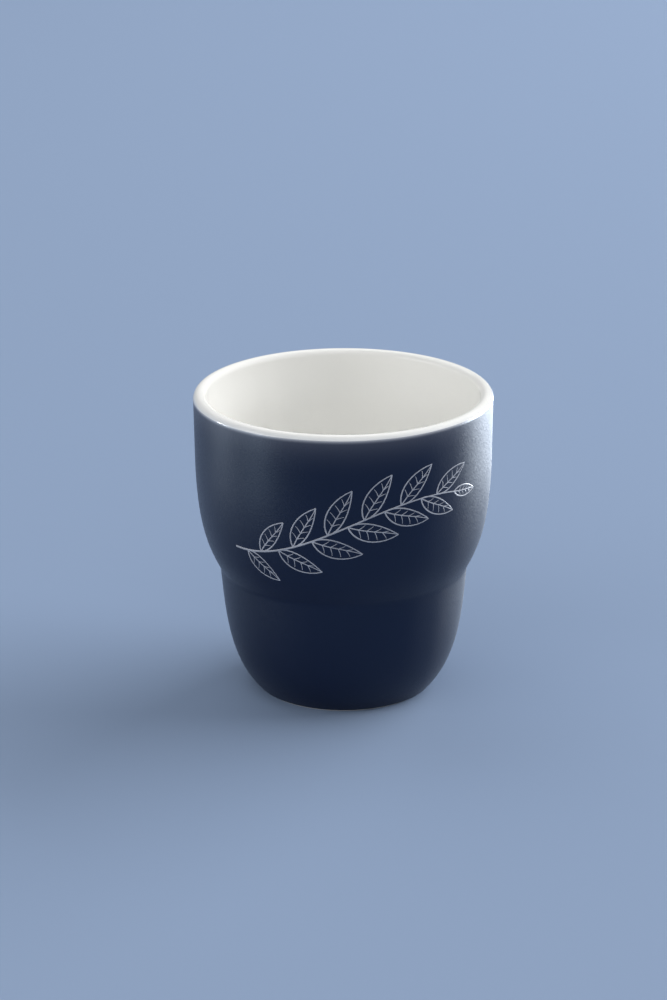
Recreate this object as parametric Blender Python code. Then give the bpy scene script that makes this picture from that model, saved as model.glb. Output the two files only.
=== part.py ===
# Espresso cup without a handle: a turned porcelain body under three fired layers of glaze.
# Metres, +Z up, origin at the centre of the foot on the table.
from math import cos, pi, radians, sin, tan

import bmesh
import bpy
from mathutils import Vector
from mathutils.geometry import interpolate_bezier

MM = 0.001

# Outside of the glazed cup, from the rim down
HEIGHT = 62.3 * MM
RIM_RADIUS = 30.0 * MM
LIP_RADIUS = 1.23 * MM  # the lip is a full round
BOWL_TOP_Z = 50.8 * MM  # the nearly upright wall ends here and the bowl begins to close
BOWL_TOP_RADIUS = 29.88 * MM
BOWL_TOP_PULL = 16.4 * MM
STEP_Z = 25.75 * MM  # crease between the wide bowl and the narrow base
STEP_RADIUS = 25.16 * MM
STEP_FILLET = 4.0 * MM
BOWL_LEAN = radians(26)  # lean of the bowl's wall where it meets the crease
BOWL_LEAN_PULL = 4.3 * MM
BASE_LEAN = radians(5.7)  # lean of the base's wall below the crease
BASE_LEAN_PULL = 8.4 * MM
FOOT_LEAN = radians(42.7)  # lean of the base where its glaze stops above the foot
FOOT_LEAN_PULL = 8.6 * MM
GLAZE_END_RADIUS = 18.1 * MM
GLAZE_END_Z = 0.5 * MM

# Inside of the glazed cup
WALL = 2.9 * MM  # below the bowl's top; the lip's own thickness above it
FLOOR_Z = 5.0 * MM
FLOOR_RADIUS = 8.0 * MM  # flat middle of the floor
FLOOR_PULL = 7.0 * MM
INSIDE_LEAN_PULL = 6.0 * MM
INSIDE_CORNER_Z = 11.0 * MM  # the inside leaves the outside's line here and rounds to the floor

# Layers
GLAZE = 0.3 * MM
GAP = 0.3 * MM
BED = GLAZE + GAP  # depth of the porcelain under the glazed surface
NAVY_TOP = radians(16)  # where the navy glaze stops, up the lip from its widest point
WHITE_START = NAVY_TOP + GAP / LIP_RADIUS  # where the white glaze begins above it

# Foot ring and the hollow under the base
FOOT_COLLAR_RADIUS = 17.55 * MM
FOOT_OUTER_RADIUS = 17.3 * MM
FOOT_INNER_RADIUS = 15.6 * MM
FOOT_EDGE = 0.25 * MM  # small bevel at both edges of the ring
HOLLOW_Z = 1.7 * MM
HOLLOW_FLAT_RADIUS = 12.0 * MM
HOLLOW_END_RADIUS = 14.6 * MM
HOLLOW_END_Z = 0.6 * MM
HOLLOW_PULL = 1.5 * MM
HOLLOW_END_LEAN = radians(20)
HOLLOW_END_PULL = 0.6 * MM

# Facets
SEGMENTS = 48
LIP_FACETS = 6  # over the lip's half turn; the first ends about where the white glaze begins
BOWL_POINTS = 8
STEP_POINTS = 3
BASE_POINTS = 8
FLOOR_POINTS = 6
HOLLOW_POINTS = 5
CREASE_PULL = 2 / 3  # how far the crease's two handles reach towards its corner
SHARP_EDGE = radians(40)
MERGE = 0.001 * MM


def point(radius, z):
    return Vector((radius, z))


def lean(angle, length):
    """A step up and outwards along a wall that leans out by the angle."""
    return point(sin(angle), cos(angle)) * length


def curve(start, start_handle, end_handle, end, count):
    return [Vector(p[:2]) for p in interpolate_bezier(start, start_handle, end_handle, end, count)]


def inward(points):
    """Unit normals into the wall, on the left of the way the points run."""
    normals = []
    for i in range(len(points)):
        before = points[max(i - 1, 0)]
        after = points[min(i + 1, len(points) - 1)]
        along = (after - before).normalized()
        normals.append(Vector((-along.y, along.x)))
    return normals


def sunk(points, depth):
    return [p + n * depth for p, n in zip(points, inward(points))]


def outside_line():
    """The glazed outside, from the foot up to the widest point of the lip."""
    crease = point(STEP_RADIUS, STEP_Z)
    trim = STEP_FILLET * tan((BOWL_LEAN - BASE_LEAN) / 2)
    step_low = crease - lean(BASE_LEAN, trim)
    step_high = crease + lean(BOWL_LEAN, trim)
    glaze_end = point(GLAZE_END_RADIUS, GLAZE_END_Z)
    bowl_top = point(BOWL_TOP_RADIUS, BOWL_TOP_Z)

    base = curve(
        glaze_end,
        glaze_end + lean(FOOT_LEAN, FOOT_LEAN_PULL),
        step_low - lean(BASE_LEAN, BASE_LEAN_PULL),
        step_low,
        BASE_POINTS,
    )
    step = curve(
        step_low,
        step_low.lerp(crease, CREASE_PULL),
        step_high.lerp(crease, CREASE_PULL),
        step_high,
        STEP_POINTS,
    )
    bowl = curve(
        step_high,
        step_high + lean(BOWL_LEAN, BOWL_LEAN_PULL),
        bowl_top - point(0, BOWL_TOP_PULL),
        bowl_top,
        BOWL_POINTS,
    )
    return base + step[1:-1] + bowl


def lip_line():
    """The full round of the lip, from its widest point over the top to its inside."""
    centre = point(RIM_RADIUS - LIP_RADIUS, HEIGHT - LIP_RADIUS)
    crown = [pi * i / LIP_FACETS for i in range(2, LIP_FACETS + 1)]
    angles = [0, NAVY_TOP, WHITE_START] + crown
    return [centre + point(cos(a), sin(a)) * LIP_RADIUS for a in angles]


def inside_line(outside):
    """The glazed inside, from below the lip down to the middle of the floor."""
    wall = [p for p in sunk(outside, WALL) if p.y > INSIDE_CORNER_Z]
    wall.reverse()
    corner = wall[-1]
    floor_edge = point(FLOOR_RADIUS, FLOOR_Z)
    along = (corner - wall[-2]).normalized()
    floor = curve(
        corner,
        corner + along * INSIDE_LEAN_PULL,
        floor_edge + point(FLOOR_PULL, 0),
        floor_edge,
        FLOOR_POINTS,
    )
    return wall[:-1] + floor + [point(0, FLOOR_Z)]


def hollow_line():
    """The glazed hollow under the base, from its middle out to the foot ring."""
    flat_edge = point(HOLLOW_FLAT_RADIUS, HOLLOW_Z)
    end = point(HOLLOW_END_RADIUS, HOLLOW_END_Z)
    round_edge = curve(
        flat_edge,
        flat_edge + point(HOLLOW_PULL, 0),
        end + point(-sin(HOLLOW_END_LEAN), cos(HOLLOW_END_LEAN)) * HOLLOW_END_PULL,
        end,
        HOLLOW_POINTS,
    )
    return [point(0, HOLLOW_Z)] + round_edge


def foot_line():
    """The bare foot ring, from inside the hollow to the outside."""
    return [
        point(FOOT_INNER_RADIUS - FOOT_EDGE, FOOT_EDGE),
        point(FOOT_INNER_RADIUS, 0),
        point(FOOT_OUTER_RADIUS, 0),
        point(FOOT_COLLAR_RADIUS, FOOT_EDGE),
    ]


def finish(name, colour, roughness):
    material = bpy.data.materials.new(name + "_finish")
    material.use_nodes = True
    shader = material.node_tree.nodes["Principled BSDF"]
    shader.inputs["Base Color"].default_value = (*colour, 1)
    shader.inputs["Roughness"].default_value = roughness
    shader.inputs["Metallic"].default_value = 0
    return material


def turned(name, outline, material, parent):
    """One solid turned from its half section; a section that leaves the axis free is a closed ring."""
    bm = bmesh.new()
    verts = [bm.verts.new((p.x, 0, p.y)) for p in outline]
    edges = [bm.edges.new(pair) for pair in zip(verts, verts[1:])]
    if outline[0].x > 0:
        edges.append(bm.edges.new((verts[-1], verts[0])))
    bmesh.ops.spin(
        bm,
        geom=verts + edges,
        cent=(0, 0, 0),
        axis=(0, 0, 1),
        angle=2 * pi,
        steps=SEGMENTS,
        use_merge=True,
    )
    bmesh.ops.remove_doubles(bm, verts=bm.verts, dist=MERGE)
    bmesh.ops.recalc_face_normals(bm, faces=bm.faces)
    mesh = bpy.data.meshes.new(name)
    bm.to_mesh(mesh)
    bm.free()
    mesh.shade_smooth()
    mesh.set_sharp_from_angle(angle=SHARP_EDGE)
    mesh.materials.append(material)
    solid = bpy.data.objects.new(name, mesh)
    solid.parent = parent
    bpy.context.collection.objects.link(solid)
    return solid


def build_cup():
    outside = outside_line()
    lip = lip_line()
    skin = outside + lip + inside_line(outside)
    meeting = len(outside) + 2  # the lip's point where the white glaze begins
    glaze_back = sunk(skin, GLAZE)
    clay = sunk(skin, BED)
    hollow = hollow_line()

    cup = bpy.data.objects.new("cup", None)
    bpy.context.collection.objects.link(cup)

    turned(
        "porcelain_body",
        sunk(hollow, BED) + foot_line() + clay,
        finish("bare_porcelain", (0.80, 0.77, 0.71), 0.6),
        cup,
    )
    turned(
        "navy_outside_glaze",
        skin[:meeting] + glaze_back[:meeting][::-1],
        finish("satin_navy", (0.012, 0.017, 0.048), 0.4),
        cup,
    )
    turned(
        "white_inside_glaze",
        skin[meeting:][::-1] + glaze_back[meeting:],
        finish("gloss_white", (0.86, 0.85, 0.81), 0.12),
        cup,
    )
    turned(
        "white_base_glaze",
        hollow + sunk(hollow, GLAZE)[::-1],
        finish("gloss_white_base", (0.86, 0.85, 0.81), 0.15),
        cup,
    )


for old in list(bpy.data.objects):
    bpy.data.objects.remove(old)
build_cup()
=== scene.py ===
from math import atan2, cos, hypot, pi, radians, sin, tan

import bpy
from mathutils import Matrix, Vector


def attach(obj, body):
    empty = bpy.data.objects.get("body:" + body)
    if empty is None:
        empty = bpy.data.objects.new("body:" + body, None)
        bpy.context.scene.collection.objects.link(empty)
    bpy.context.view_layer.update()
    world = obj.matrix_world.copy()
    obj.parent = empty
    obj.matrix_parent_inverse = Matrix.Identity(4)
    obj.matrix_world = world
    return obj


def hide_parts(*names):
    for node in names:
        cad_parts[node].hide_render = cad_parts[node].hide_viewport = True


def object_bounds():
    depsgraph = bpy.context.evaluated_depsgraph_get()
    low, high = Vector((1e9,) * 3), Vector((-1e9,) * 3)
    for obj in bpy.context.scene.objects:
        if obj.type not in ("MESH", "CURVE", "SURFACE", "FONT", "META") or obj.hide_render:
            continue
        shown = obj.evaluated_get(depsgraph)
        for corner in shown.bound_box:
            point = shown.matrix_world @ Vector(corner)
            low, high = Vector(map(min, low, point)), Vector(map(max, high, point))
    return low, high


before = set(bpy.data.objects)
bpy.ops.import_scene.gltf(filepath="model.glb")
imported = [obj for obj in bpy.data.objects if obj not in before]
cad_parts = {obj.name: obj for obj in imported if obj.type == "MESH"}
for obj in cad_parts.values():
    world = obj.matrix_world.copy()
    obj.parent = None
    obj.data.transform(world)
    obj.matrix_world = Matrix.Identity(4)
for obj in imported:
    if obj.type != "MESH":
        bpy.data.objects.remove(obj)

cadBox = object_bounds()
mm = 0.001
scene = bpy.context.scene
scene.view_settings.view_transform = "Standard"
print("frame loaded:", ", ".join(sorted(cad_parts)))


# the photograph's own viewpoint
cameraSet = {
    "place": (-2.03, -571.9, 242.9),  # mm from the middle of the foot
    "lookDown": 19.63,  # degrees below level
    "roll": -0.26,
    "lens": 107.86,
    "sensor": 36,  # along the frame's long side
    "nearest": 10,  # mm
}


def addCamera():
    bpy.ops.object.select_all(action="DESELECT")
    bpy.ops.object.camera_add(location=Vector(cameraSet["place"]) * mm)
    camera = bpy.context.object
    camera.name = "photoCamera"
    pitch = Matrix.Rotation(radians(90 - cameraSet["lookDown"]), 3, "X")
    roll = Matrix.Rotation(radians(cameraSet["roll"]), 3, "Z")
    camera.rotation_euler = (pitch @ roll).to_euler()
    camera.data.lens = cameraSet["lens"]
    camera.data.sensor_width = cameraSet["sensor"]
    camera.data.clip_start = cameraSet["nearest"] * mm
    scene.camera = camera


addCamera()
print("camera set")


# soft studio light: a bright room, a large lamp on the right, weaker ones round it,
# and low strips at both sides that show only as reflections in the glaze
lightSet = {
    "lamps": {  # degrees and metres
        "front": {"turn": -10, "rise": 42, "away": 2.2, "wide": 2.2, "high": 2.0, "level": 0.25},
        "right": {"turn": 115, "rise": 32, "away": 1.9, "wide": 2.3, "high": 1.3, "level": 1.2},
        "left": {"turn": -66, "rise": 13, "away": 2.0, "wide": 1.2, "high": 0.9, "level": 0.21},
        "back": {"turn": -150, "rise": 52, "away": 2.0, "wide": 2.0, "high": 1.6, "level": 0.24},
    },
    "strips": {
        "leftFront": {"turn": -65, "rise": -4.2, "away": 0.4, "wide": 0.10, "high": 0.03, "level": 0.22},
        "leftBack": {"turn": -98, "rise": -4.2, "away": 0.4, "wide": 0.10, "high": 0.03, "level": 0.33},
        "rightFront": {"turn": 119, "rise": -3.4, "away": 0.48, "wide": 0.06, "high": 0.032, "level": 1.4},
        "rightBack": {"turn": 135, "rise": -3.4, "away": 0.48, "wide": 0.06, "high": 0.032, "level": 3.3},
    },
    "unmirrored": ("right",),  # lamps kept out of reflections, so that the white lip doesn't burn out
    "stripColour": (0.86, 0.92, 1.0),
    "roomLight": 0.32,
    "roomColour": (0.94, 0.97, 1.0),
    "aim": (0, 0, 45),  # mm
}


def addLamp(name, lamp):
    turn = radians(lamp["turn"])  # from the camera's side towards +X
    rise = radians(lamp["rise"])
    aim = Vector(lightSet["aim"]) * mm
    way = Vector((cos(rise) * sin(turn), -cos(rise) * cos(turn), sin(rise)))
    bpy.ops.object.select_all(action="DESELECT")
    bpy.ops.object.light_add(type="AREA", location=aim + way * lamp["away"])
    light = bpy.context.object
    light.name = name + "Lamp"
    light.rotation_euler = way.to_track_quat("Z", "Y").to_euler()
    light.visible_camera = False
    light.data.shape = "RECTANGLE"
    light.data.size = lamp["wide"]
    light.data.size_y = lamp["high"]
    # at level 1, a surface that faces the lamp shows its own colour
    light.data.energy = lamp["level"] * (pi * lamp["away"]) ** 2
    return light


def addRoom():
    world = bpy.data.worlds.new("studioRoom")
    scene.world = world
    world.use_nodes = True
    room = world.node_tree.nodes["Background"]
    room.inputs["Color"].default_value = (*lightSet["roomColour"], 1)
    room.inputs["Strength"].default_value = lightSet["roomLight"]


floorSet = {
    "radius": 4.0,  # metres
    "sides": 128,
    "colour": (0.252, 0.33, 0.475),
    "roughness": 0.8,
    "sheen": 0,  # quite matt, so that the strips leave no streak on it
}


def addFloor():
    bpy.ops.object.select_all(action="DESELECT")
    bpy.ops.mesh.primitive_circle_add(
        vertices=floorSet["sides"], radius=floorSet["radius"], fill_type="NGON"
    )
    floor = bpy.context.object
    floor.name = "paleFloor"
    material = bpy.data.materials.new("palePaper")
    material.use_nodes = True
    shader = material.node_tree.nodes["Principled BSDF"]
    shader.inputs["Base Color"].default_value = (*floorSet["colour"], 1)
    shader.inputs["Roughness"].default_value = floorSet["roughness"]
    shader.inputs["Specular IOR Level"].default_value = floorSet["sheen"]
    floor.data.materials.append(material)


for name, lamp in lightSet["lamps"].items():
    light = addLamp(name, lamp)
    light.visible_glossy = name not in lightSet["unmirrored"]
for name, strip in lightSet["strips"].items():
    light = addLamp(name + "Strip", strip)
    light.visible_diffuse = False
    light.data.color = lightSet["stripColour"]
addRoom()
addFloor()
print("light and floor set")


# helpers for materials
def newNode(tree, kind, inputs=None, **settings):
    node = tree.nodes.new("ShaderNode" + kind)
    for name, value in settings.items():
        setattr(node, name, value)
    for name, value in (inputs or {}).items():
        if isinstance(value, bpy.types.NodeSocket):
            tree.links.new(value, node.inputs[name])
        else:
            node.inputs[name].default_value = value
    return node


def mixColours(tree, mask, first, second):
    mix = tree.nodes.new("ShaderNodeMix")
    mix.data_type = "RGBA"
    sockets = (mix.inputs[0], mix.inputs[6], mix.inputs[7])  # the factor and the two colours
    for socket, value in zip(sockets, (mask, first, second)):
        if isinstance(value, bpy.types.NodeSocket):
            tree.links.new(value, socket)
        else:
            socket.default_value = (*value, 1)
    return mix.outputs[2]


def spread(tree, value, low, high, start=0.3, end=0.7):
    # most of a noise lies between start and end
    limits = {"From Min": start, "From Max": end, "To Min": low, "To Max": high}
    ramp = newNode(tree, "MapRange", {"Value": value, **limits})
    return ramp.outputs["Result"]


# what firing leaves in every surface here: a fine grain, and a slow drift of tone
grainSet = {"detail": 2.0, "roughness": 0.6, "driftDetail": 1.0}


def makeFiredGrain():
    group = bpy.data.node_groups.new("firedGrain", "ShaderNodeTree")
    group.interface.new_socket("Place", in_out="INPUT", socket_type="NodeSocketVector")
    group.interface.new_socket("Grains per metre", in_out="INPUT", socket_type="NodeSocketFloat")
    group.interface.new_socket("Drifts per metre", in_out="INPUT", socket_type="NodeSocketFloat")
    group.interface.new_socket("Grain", in_out="OUTPUT", socket_type="NodeSocketFloat")
    group.interface.new_socket("Drift", in_out="OUTPUT", socket_type="NodeSocketFloat")
    given = group.nodes.new("NodeGroupInput")
    made = group.nodes.new("NodeGroupOutput")
    grain = newNode(
        group,
        "TexNoise",
        {
            "Vector": given.outputs["Place"],
            "Scale": given.outputs["Grains per metre"],
            "Detail": grainSet["detail"],
            "Roughness": grainSet["roughness"],
        },
    )
    drift = newNode(
        group,
        "TexNoise",
        {
            "Vector": given.outputs["Place"],
            "Scale": given.outputs["Drifts per metre"],
            "Detail": grainSet["driftDetail"],
        },
    )
    group.links.new(grain.outputs["Fac"], made.inputs["Grain"])
    group.links.new(drift.outputs["Fac"], made.inputs["Drift"])
    return group


firedGrain = makeFiredGrain()


def startMaterial(name, settings):
    material = bpy.data.materials.new(name)
    material.use_nodes = True
    tree = material.node_tree
    place = newNode(tree, "TexCoord").outputs["Object"]
    grain = newNode(tree, "Group", node_tree=firedGrain)
    tree.links.new(place, grain.inputs["Place"])
    grain.inputs["Grains per metre"].default_value = settings["grains"]
    grain.inputs["Drifts per metre"].default_value = settings["drifts"]
    return material, tree, tree.nodes["Principled BSDF"], grain.outputs["Grain"], grain.outputs["Drift"]


def addBump(tree, shader, height, settings):
    bump = newNode(
        tree, "Bump", {"Height": height, "Strength": settings["bump"], "Distance": settings["bumpDepth"]}
    )
    tree.links.new(bump.outputs["Normal"], shader.inputs["Normal"])


navySet = {
    "deep": (0.0008, 0.0038, 0.0230),
    "light": (0.0014, 0.0053, 0.0290),
    "thin": (0.52, 0.53, 0.57),  # the last of the layer, where the white shows through
    "rim": (0.062, 0.066, 0.092),  # painted sheen: the navy lightens towards the rim, standing in for the glow and sheen near the bright lip
    "rimFrom": 50 * mm,
    "rimTo": 61 * mm,
    "rimCurve": 4,  # the painted sheen sets in late, close to the rim
    "smoothest": 0.30,
    "roughest": 0.44,
    "bending": 1.47,  # index of refraction
    "gleam": (0.72, 0.88, 1.0),  # tint of its reflections
    "grains": 3000,
    "drifts": 55,
    "bump": 0.4,
    "bumpDepth": 0.052 * mm,
}


def makeSatinNavy():
    material, tree, shader, grain, drift = startMaterial("satinNavy", navySet)
    body = mixColours(tree, drift, navySet["deep"], navySet["light"])
    place = newNode(tree, "TexCoord").outputs["Object"]
    height = newNode(tree, "SeparateXYZ", {"Vector": place}).outputs["Z"]
    # painted sheen: the base colour lightens towards the rim, in place of the glow and sheen there
    rise = spread(tree, height, 0, 1, navySet["rimFrom"], navySet["rimTo"])
    paintedRimSheen = newNode(tree, "Math", {0: rise, 1: navySet["rimCurve"]}, operation="POWER").outputs[0]
    upper = mixColours(tree, paintedRimSheen, body, navySet["rim"])
    edge = newNode(tree, "Attribute", attribute_name="thinEdge").outputs["Fac"]
    tree.links.new(mixColours(tree, edge, upper, navySet["thin"]), shader.inputs["Base Color"])
    tree.links.new(
        spread(tree, grain, navySet["smoothest"], navySet["roughest"]), shader.inputs["Roughness"]
    )
    shader.inputs["IOR"].default_value = navySet["bending"]
    shader.inputs["Specular Tint"].default_value = (*navySet["gleam"], 1)
    addBump(tree, shader, grain, navySet)
    return material


whiteSet = {
    "warm": (0.91, 0.90, 0.872),
    "cool": (0.897, 0.897, 0.872),
    "smoothest": 0.13,
    "roughest": 0.2,
    "grains": 160,
    "drifts": 40,
    "bump": 0.06,
    "bumpDepth": 0.06 * mm,
}


def makeGlossWhite():
    material, tree, shader, grain, drift = startMaterial("glossWhite", whiteSet)
    tree.links.new(mixColours(tree, drift, whiteSet["warm"], whiteSet["cool"]), shader.inputs["Base Color"])
    tree.links.new(
        spread(tree, drift, whiteSet["smoothest"], whiteSet["roughest"]), shader.inputs["Roughness"]
    )
    addBump(tree, shader, grain, whiteSet)
    return material


biscuitSet = {
    "pale": (0.79, 0.765, 0.71),
    "speck": (0.60, 0.56, 0.49),
    "speckFrom": 0.6,
    "speckTo": 0.72,
    "speckMost": 0.8,
    "smoothest": 0.62,
    "roughest": 0.82,
    "grains": 5200,
    "drifts": 260,
    "bump": 0.25,
    "bumpDepth": 0.03 * mm,
}


def makeBareBiscuit():
    material, tree, shader, grain, drift = startMaterial("bareBiscuit", biscuitSet)
    specks = spread(
        tree, grain, 0, biscuitSet["speckMost"], biscuitSet["speckFrom"], biscuitSet["speckTo"]
    )
    colour = mixColours(tree, specks, biscuitSet["pale"], biscuitSet["speck"])
    tree.links.new(colour, shader.inputs["Base Color"])
    tree.links.new(
        spread(tree, drift, biscuitSet["smoothest"], biscuitSet["roughest"]), shader.inputs["Roughness"]
    )
    addBump(tree, shader, grain, biscuitSet)
    return material


inkSet = {
    "full": (0.44, 0.45, 0.49),
    "worn": (0.35, 0.36, 0.40),
    "wornFrom": 0.35,
    "wornTo": 0.65,
    "smoothest": 0.45,
    "roughest": 0.6,
    "grains": 4200,
    "drifts": 180,
    "bump": 0.1,
    "bumpDepth": 0.01 * mm,
}


def makePaleInk():
    material, tree, shader, grain, drift = startMaterial("paleInk", inkSet)
    patches = spread(tree, drift, 0, 1, inkSet["wornFrom"], inkSet["wornTo"])
    tree.links.new(mixColours(tree, patches, inkSet["full"], inkSet["worn"]), shader.inputs["Base Color"])
    tree.links.new(spread(tree, grain, inkSet["smoothest"], inkSet["roughest"]), shader.inputs["Roughness"])
    addBump(tree, shader, grain, inkSet)
    return material


satinNavy = makeSatinNavy()
glossWhite = makeGlossWhite()
bareBiscuit = makeBareBiscuit()
paleInk = makePaleInk()
print("materials made")


# helpers for turned pieces: a half section drawn as a curve, in mm, then spun round the cup's axis
def knot(radius, z, back=None, ahead=None):
    at = Vector((radius, z))
    return {"at": at, "back": back and at + Vector(back), "ahead": ahead and at + Vector(ahead)}


def leaning(degrees, length):
    return Vector((sin(radians(degrees)), cos(radians(degrees)))) * length  # up and outwards


def arc(centre, radius, start, end, pieces):
    step = radians(end - start) / pieces
    pull = 4 / 3 * tan(step / 4) * radius
    knots = []
    for i in range(pieces + 1):
        a = radians(start) + step * i
        along = Vector((-sin(a), cos(a))) * pull
        spot = Vector(centre) + Vector((cos(a), sin(a))) * radius
        knots.append(knot(spot.x, spot.y, -along if i else None, along if i < pieces else None))
    return knots


def drawSection(name, knots, fineness):
    bpy.ops.object.select_all(action="DESELECT")
    bpy.ops.curve.primitive_bezier_curve_add(location=(0, 0, 0))
    section = bpy.context.object
    section.name = name
    section.data.resolution_u = fineness
    line = section.data.splines[0]
    line.bezier_points.add(len(knots) - 2)
    for point, k in zip(line.bezier_points, knots):
        point.handle_left_type = "FREE" if k["back"] else "VECTOR"
        point.handle_right_type = "FREE" if k["ahead"] else "VECTOR"
        point.co = (k["at"].x * mm, 0, k["at"].y * mm)
        if k["back"]:
            point.handle_left = (k["back"].x * mm, 0, k["back"].y * mm)
        if k["ahead"]:
            point.handle_right = (k["ahead"].x * mm, 0, k["ahead"].y * mm)
    bpy.ops.object.convert(target="MESH")
    return bpy.context.object


turnSet = {"steps": 192, "weld": 0.001 * mm, "smoothAngle": 40}


def turnSection(name, knots, fineness, facesIn=False):
    piece = drawSection(name, knots, fineness)
    bpy.ops.object.mode_set(mode="EDIT")
    bpy.ops.mesh.select_all(action="SELECT")
    bpy.ops.mesh.spin(steps=turnSet["steps"], angle=2 * pi, center=(0, 0, 0), axis=(0, 0, 1))
    bpy.ops.mesh.select_all(action="SELECT")
    bpy.ops.mesh.remove_doubles(threshold=turnSet["weld"])
    bpy.ops.mesh.normals_make_consistent(inside=facesIn)
    bpy.ops.object.mode_set(mode="OBJECT")
    return piece


def thicken(piece, thickness, group=None):
    wall = piece.modifiers.new("wall", "SOLIDIFY")
    wall.thickness = thickness * mm
    wall.offset = -1  # inwards
    if group:
        wall.vertex_group = group
    bpy.ops.object.modifier_apply(modifier="wall")


def finishPiece(piece, node, material):
    piece.data.materials.clear()
    piece.data.materials.append(material)
    bpy.ops.object.shade_smooth_by_angle(angle=radians(turnSet["smoothAngle"]))
    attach(piece, "root")
    if node:
        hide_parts(node)


# the cup's own outline, shared by every layer
cupSet = {
    "rimRadius": cadBox[1].x / mm,
    "height": cadBox[1].z / mm,
    "lipRadius": 1.23,
    "lipRuns": 4,
    "lipPull": 3.5,  # how gently the lip's inner side runs into the wall
    "bowlTop": (29.88, 50.8),  # the nearly upright wall ends here
    "bowlTopPull": 16.4,
    "crease": (25.16, 25.75),  # between the wide bowl and the narrow base
    "creaseRound": 4.0,
    "bowlLean": 26.0,
    "bowlPull": 4.3,
    "baseLean": 5.7,
    "basePull": 8.4,
    "footLean": 42.7,
    "footPull": 8.6,
    "glazeEnd": (18.1, 0.5),
    "wall": 2.9,
    "insideShrink": 0.945,  # the inside's curves are this much shorter than the outside's
    "corner": (19.97, 11.1),  # where the inside begins to round to the floor
    "cornerLean": 17.0,
    "cornerPull": 6.0,
    "cornerEase": 0.7,  # shorter pull on the corner's upper side
    "floorEdge": (8.0, 5.0),
    "floorPull": 7.0,
}
lipCentre = Vector((cupSet["rimRadius"] - cupSet["lipRadius"], cupSet["height"] - cupSet["lipRadius"]))


def creaseEnds(depth):
    # the two ends of the crease's round, sunk into the wall by depth
    corner = Vector(cupSet["crease"])
    trim = cupSet["creaseRound"] * tan(radians(cupSet["bowlLean"] - cupSet["baseLean"]) / 2)
    low = corner - leaning(cupSet["baseLean"], trim) + leaning(cupSet["baseLean"] - 90, depth)
    high = corner + leaning(cupSet["bowlLean"], trim) + leaning(cupSet["bowlLean"] - 90, depth)
    pull = (high - low).length / 3
    return low, high, pull


def lipKnots(depth, start):
    knots = arc(lipCentre, cupSet["lipRadius"] - depth, start, 180, cupSet["lipRuns"])
    knots[-1]["ahead"] = knots[-1]["at"] - Vector((0, cupSet["lipPull"]))
    return knots


def outsideKnots(depth):
    low, high, pull = creaseEnds(depth)
    start = Vector(cupSet["glazeEnd"]) + leaning(cupSet["footLean"] - 90, depth)
    top = Vector(cupSet["bowlTop"]) - Vector((depth, 0))
    base = leaning(cupSet["baseLean"], 1)
    bowl = leaning(cupSet["bowlLean"], 1)
    return [
        knot(*start, None, leaning(cupSet["footLean"], cupSet["footPull"])),
        knot(*low, -base * cupSet["basePull"], base * pull),
        knot(*high, -bowl * pull, bowl * cupSet["bowlPull"]),
        knot(*top, (0, -cupSet["bowlTopPull"]), None),
    ]


def insideKnots(depth):
    sunk = cupSet["wall"] - depth
    low, high, pull = creaseEnds(sunk)
    top = Vector(cupSet["bowlTop"]) - Vector((sunk, 0))
    corner = Vector(cupSet["corner"]) - leaning(cupSet["cornerLean"] - 90, depth)
    floorEdge = Vector(cupSet["floorEdge"]) - Vector((0, depth))
    base = leaning(cupSet["baseLean"], 1)
    bowl = leaning(cupSet["bowlLean"], 1)
    down = -leaning(cupSet["cornerLean"], 1)
    shrink = cupSet["insideShrink"]
    return [
        knot(*top, (0, cupSet["lipPull"]), (0, -cupSet["bowlTopPull"] * shrink)),
        knot(*high, bowl * cupSet["bowlPull"] * shrink, -bowl * pull),
        knot(*low, base * pull, -base * cupSet["cornerPull"]),
        knot(*corner, -down * cupSet["cornerPull"] * cupSet["cornerEase"], down * cupSet["cornerPull"]),
        knot(*floorEdge, (cupSet["floorPull"], 0), None),
        knot(0, floorEdge.y),
    ]


# the layers: navy outside, ending in a thin, slightly uneven edge on the lip, white inside, clay between
layerSet = {
    "thickness": 0.28,
    "proud": 0.03,  # the navy lies this much over the white at the lip
    "clayDepth": 0.33,
    "edgeUp": 18.0,  # degrees up the lip where the navy stops
    "edgeTilt": 11.0,  # and how much more on the right, less on the left
    "edgeWander": 1.2,
    "edgeWaves": ((3, 0.6, 1.0), (7, 2.0, 0.6), (13, 0.0, 0.4)),  # count round the lip, start, share
    "thinFrom": 60.2,  # mm, height where the layer begins to thin
    "thinTo": 60.7,
    "thinnest": 0.06,
    "fadeBelow": 0.8,  # mm of paler navy under the edge
    "fadeRings": 6,
    "fadeCurve": 2,
    "whiteUnder": -16.0,  # degrees on the lip where the white starts, under the navy
    "footEdge": (-0.22, -0.06),  # the navy's rounded end above the foot
    "footEdgePull": (0.12, -0.05),
    "footEdgeRound": 0.12,
    "navyFineness": 20,
    "whiteFineness": 14,
    "clayFineness": 8,
}


def edgeAngle(x, y):
    around = atan2(y, x)
    wander = sum(share * sin(count * around + start) for count, start, share in layerSet["edgeWaves"])
    return layerSet["edgeUp"] + layerSet["edgeTilt"] * cos(around) + layerSet["edgeWander"] * wander


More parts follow.
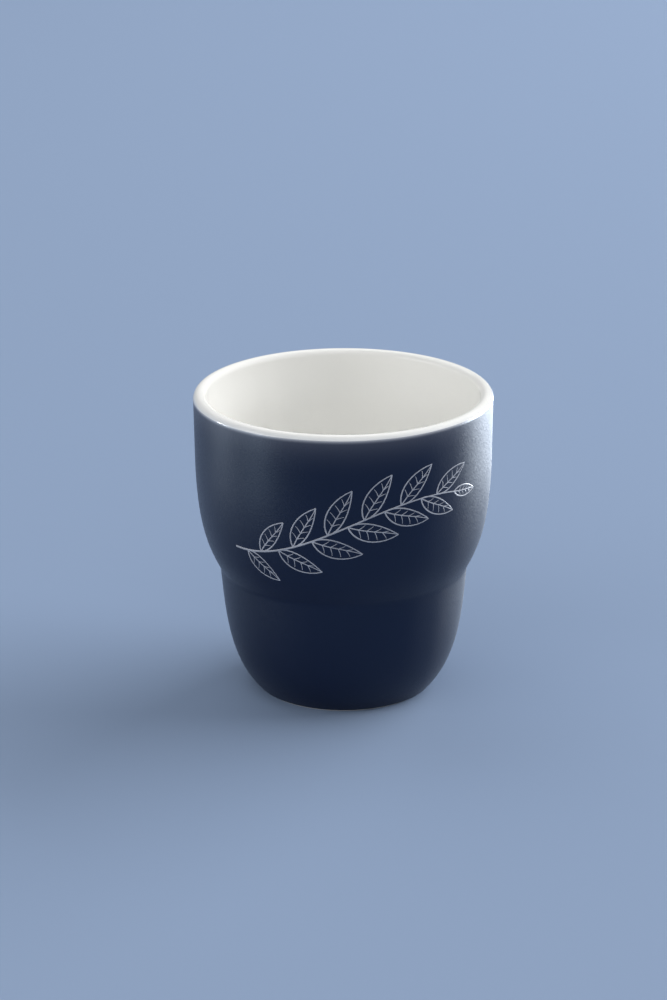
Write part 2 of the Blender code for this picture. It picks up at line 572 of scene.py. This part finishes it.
def makeNavyGlaze():
    proud = layerSet["proud"]
    lip = arc(lipCentre, cupSet["lipRadius"] + proud, 0, layerSet["edgeUp"], 1)
    outside = outsideKnots(-proud)
    start = outside[0]["at"]
    footEdge = knot(*(start + Vector(layerSet["footEdge"])), None, layerSet["footEdgePull"])
    outside[0]["back"] = start - leaning(cupSet["footLean"], layerSet["footEdgeRound"])
    wallTop = outside[-1]["at"]
    rings = []
    for i in range(layerSet["fadeRings"]):
        z = lipCentre.y - layerSet["fadeBelow"] * (1 - i / layerSet["fadeRings"])
        rings.append(knot(*wallTop.lerp(lip[0]["at"], (z - wallTop.y) / (lipCentre.y - wallTop.y))))
    piece = turnSection("navyGlaze", [footEdge] + outside + rings + lip, layerSet["navyFineness"])

    # slide the lip's rings so that the edge runs as the real one does
    lipRound = cupSet["lipRadius"] + proud
    fades = [0.0] * len(piece.data.vertices)
    for v in piece.data.vertices:
        x, y, z = v.co / mm
        flat = hypot(x, y)
        edge = radians(edgeAngle(x, y))
        below = edge * lipRound + lipCentre.y - z
        if z > lipCentre.y:
            angle = edge * atan2(z - lipCentre.y, flat - lipCentre.x) / radians(layerSet["edgeUp"])
            radius = lipCentre.x + lipRound * cos(angle)
            v.co = Vector((x / flat * radius, y / flat * radius, lipCentre.y + lipRound * sin(angle))) * mm
            below = (edge - angle) * lipRound
        fades[v.index] = max(0, 1 - below / layerSet["fadeBelow"]) ** layerSet["fadeCurve"]
    piece.data.attributes.new("thinEdge", "FLOAT", "POINT").data.foreach_set("value", fades)

    group = piece.vertex_groups.new(name="thickness")
    for v in piece.data.vertices:
        up = (v.co.z / mm - layerSet["thinFrom"]) / (layerSet["thinTo"] - layerSet["thinFrom"])
        group.add([v.index], 1 - (1 - layerSet["thinnest"]) * min(max(up, 0), 1), "REPLACE")
    thicken(piece, layerSet["thickness"], "thickness")
    finishPiece(piece, "navy_outside_glaze", satinNavy)
    return piece


def makeWhiteGlaze():
    lip = lipKnots(0, layerSet["whiteUnder"])
    piece = turnSection("whiteGlaze", lip + insideKnots(0), layerSet["whiteFineness"])
    thicken(piece, layerSet["thickness"])
    finishPiece(piece, "white_inside_glaze", glossWhite)


# foot ring and the hollow under the base
footSet = {
    "inner": 15.6,
    "innerPull": -0.12,
    "innerCollar": (15.3, 0.28),
    "innerCollarPull": (0.02, -0.18),
    "outer": 17.35,
    "outerPull": 0.16,
    "collar": (17.72, 0.32),
    "collarPull": -0.16,
    "hollowZ": 1.7,
    "hollowFlat": 12.0,
    "hollowPull": 1.6,
    "hollowEnd": (14.7, 0.62),
    "hollowEndLean": -25,
    "hollowEndPull": 0.6,
    "hollowEndRise": 0.5,  # the clay behind the glaze's end lies this share of the depth higher
}


def hollowKnots(depth):
    endRadius, endZ = footSet["hollowEnd"]
    slope = leaning(footSet["hollowEndLean"], footSet["hollowEndPull"])
    return [
        knot(0, footSet["hollowZ"] + depth),
        knot(footSet["hollowFlat"], footSet["hollowZ"] + depth, None, (footSet["hollowPull"], 0)),
        knot(endRadius + depth, endZ + depth * footSet["hollowEndRise"], slope, None),
    ]


def makeBaseGlaze():
    piece = turnSection("baseGlaze", hollowKnots(0), layerSet["whiteFineness"], facesIn=True)
    thicken(piece, layerSet["thickness"])
    finishPiece(piece, "white_base_glaze", glossWhite)


def makePorcelainBody():
    depth = layerSet["clayDepth"]
    foot = [
        knot(*footSet["innerCollar"], None, footSet["innerCollarPull"]),
        knot(footSet["inner"], 0, (footSet["innerPull"], 0), None),
        knot(footSet["outer"], 0, None, (footSet["outerPull"], 0)),
        knot(*footSet["collar"], (0, footSet["collarPull"]), None),
    ]
    outside = outsideKnots(depth)
    lip = lipKnots(depth, 0)
    knots = hollowKnots(depth) + foot + outside + lip + insideKnots(depth)
    piece = turnSection("porcelainBody", knots, layerSet["clayFineness"])
    finishPiece(piece, "porcelain_body", bareBiscuit)


navyGlaze = makeNavyGlaze()
print("navy layer turned")
makeWhiteGlaze()
print("white layer turned")
makeBaseGlaze()
makePorcelainBody()
print("base and clay turned")


# fine-line branch on the front: strokes drawn flat, as mm round the cup and mm up it, then laid on the navy
branchSet = {
    "stem": ((-24.5, 36.5), (-7, 35.5), (5, 51.5), (24, 48)),
    "stemRuns": 16,
    "stemWidth": 0.42,
    "stemTip": 0.6,  # width at the far end, as a share; likewise for the other strokes
    "leafPairs": 6,
    "firstPair": 0.1,
    "lastPair": 0.88,
    "stagger": 0.035,  # how far apart the two leaves of a pair stand on the stem
    "leafLength": 8.2,
    "leafSwell": 2.2,  # longer by this much half way along
    "leafWidth": 0.19,  # half width, as a share of its length
    "leafAngle": 50,  # degrees from the stem, at its start
    "leafAngleEnd": 38,
    "leafBend": 0.12,
    "lastLeaf": 0.8,  # against the others
    "lastLeafBend": 0.4,
    "outlineWidth": 0.3,
    "outlineTip": 0.7,
    "outlinePulls": (0.22, 0.68),  # along the leaf
    "outlineSwell": (1.35, 0.85),
    "ribWidth": 0.26,
    "ribTip": 0.6,
    "ribPulls": (0.35, 0.3),
    "veins": 4,
    "veinWidth": 0.17,
    "veinTip": 0.5,
    "veinFrom": 0.2,  # on the rib
    "veinSpan": 0.6,
    "veinAhead": 0.17,  # its end lies this much further along the outline
    "veinReach": 0.8,
    "veinLift": 0.12,
    "veinPulls": (0.4, 0.75),
    "fineness": 10,
    "roundness": 2,
    "relief": 0.3,  # the strokes' height, as a share of their width
    "weld": 0.0002 * mm,
}


def bezierSpot(points, t):
    a, b, c, d = (Vector(p) for p in points)
    s = 1 - t
    spot = a * s**3 + b * 3 * s * s * t + c * 3 * s * t * t + d * t**3
    speed = (b - a) * 3 * s * s + (c - b) * 6 * s * t + (d - c) * 3 * t * t
    return spot, speed


def shortRuns(points, count):
    # the same curve as a chain, so that each run is short enough to follow the cup's wall
    runs = []
    for i in range(count):
        start, leave = bezierSpot(points, i / count)
        end, arrive = bezierSpot(points, (i + 1) / count)
        runs.append((start, start + leave / count / 3, end - arrive / count / 3, end))
    return runs


def stroke(drawing, runs, width, tip):
    # one pen stroke: a chain of cubic runs, each given by its four points
    line = drawing.splines.new("BEZIER")
    line.bezier_points.add(len(runs))
    spots = line.bezier_points
    for i, (a, b, c, d) in enumerate(runs):
        spots[i].co = (a[0] * mm, 0, a[1] * mm)
        spots[i].handle_right = (b[0] * mm, 0, b[1] * mm)
        spots[i + 1].handle_left = (c[0] * mm, 0, c[1] * mm)
        spots[i + 1].co = (d[0] * mm, 0, d[1] * mm)
    spots[0].handle_left = spots[0].co
    spots[-1].handle_right = spots[-1].co
    for i, s in enumerate(spots):
        s.radius = width / branchSet["stemWidth"] * (1 + (tip - 1) * i / (len(spots) - 1))


def drawLeaf(drawing, base, way, length, bend):
    side = Vector((-way.y, way.x))
    half = length * branchSet["leafWidth"]
    tip = base + way * length + side * bend * length * branchSet["leafBend"]
    ribStart, ribEnd = branchSet["ribPulls"]
    rib = (base, base + way * length * ribStart, tip - way * length * ribEnd, tip)
    near, far = branchSet["outlinePulls"]
    swell, shrink = branchSet["outlineSwell"]
    for turn in (1, -1):
        out = side * turn * half * swell
        outline = (base, base + way * length * near + out, base + way * length * far + out * shrink, tip)
        stroke(drawing, [outline], branchSet["outlineWidth"], branchSet["outlineTip"])
        drawVeins(drawing, rib, outline)
    stroke(drawing, [rib], branchSet["ribWidth"], branchSet["ribTip"])


def drawVeins(drawing, rib, outline):
    early, late = branchSet["veinPulls"]
    for i in range(branchSet["veins"]):
        t = branchSet["veinFrom"] + branchSet["veinSpan"] * i / branchSet["veins"]
        root, along = bezierSpot(rib, t)
        edge = bezierSpot(outline, t + branchSet["veinAhead"])[0]
        end = root.lerp(edge, branchSet["veinReach"])
        lift = along.normalized() * branchSet["veinLift"]
        vein = (root, root.lerp(end, early) + lift, root.lerp(end, late) + lift, end)
        stroke(drawing, [vein], branchSet["veinWidth"], branchSet["veinTip"])


def turned(way, degrees):
    return (Matrix.Rotation(radians(degrees), 2) @ way).normalized()


def drawBranch():
    bpy.ops.object.select_all(action="DESELECT")
    bpy.ops.curve.primitive_bezier_curve_add(location=(0, 0, 0))
    branch = bpy.context.object
    branch.name = "leafBranchPrint"
    drawing = branch.data
    drawing.splines.clear()
    drawing.resolution_u = branchSet["fineness"]
    drawing.bevel_depth = branchSet["stemWidth"] / 2 * mm
    drawing.bevel_resolution = branchSet["roundness"]
    drawing.use_fill_caps = True
    stem = branchSet["stem"]
    runs = shortRuns(stem, branchSet["stemRuns"])
    stroke(drawing, runs, branchSet["stemWidth"], branchSet["stemTip"])
    pairs = branchSet["leafPairs"]
    for i in range(pairs):
        t = branchSet["firstPair"] + (branchSet["lastPair"] - branchSet["firstPair"]) * i / (pairs - 1)
        length = branchSet["leafLength"] + branchSet["leafSwell"] * sin(pi * t)
        angle = branchSet["leafAngle"] + (branchSet["leafAngleEnd"] - branchSet["leafAngle"]) * t
        for side in (1, -1):
            base, along = bezierSpot(stem, t + branchSet["stagger"] * side)
            drawLeaf(drawing, base, turned(along, angle * side), length, -side)
    tip, along = bezierSpot(stem, 1)
    length = branchSet["leafLength"] * branchSet["lastLeaf"]
    drawLeaf(drawing, tip, along.normalized(), length, branchSet["lastLeafBend"])
    bpy.ops.object.convert(target="MESH")
    return bpy.context.object


def layOnCup(piece, under):
    # round the cup by the distance along its widest wall, then out to its surface
    reach = 100 * mm  # well outside the cup
    girth = cupSet["bowlTop"][0] * mm
    for v in piece.data.vertices:
        turn = v.co.x / girth
        out = Vector((sin(turn), -cos(turn), 0))
        spot, normal = under.ray_cast(out * reach + Vector((0, 0, v.co.z)), -out)[1:3]
        v.co = spot - normal * v.co.y * branchSet["relief"]


def makeBranchPrint():
    piece = drawBranch()
    layOnCup(piece, navyGlaze)
    bpy.ops.object.mode_set(mode="EDIT")
    bpy.ops.mesh.select_all(action="SELECT")
    bpy.ops.mesh.remove_doubles(threshold=branchSet["weld"])
    bpy.ops.mesh.normals_make_consistent(inside=False)
    bpy.ops.object.mode_set(mode="OBJECT")
    finishPiece(piece, None, paleInk)


makeBranchPrint()
print("branch drawn")
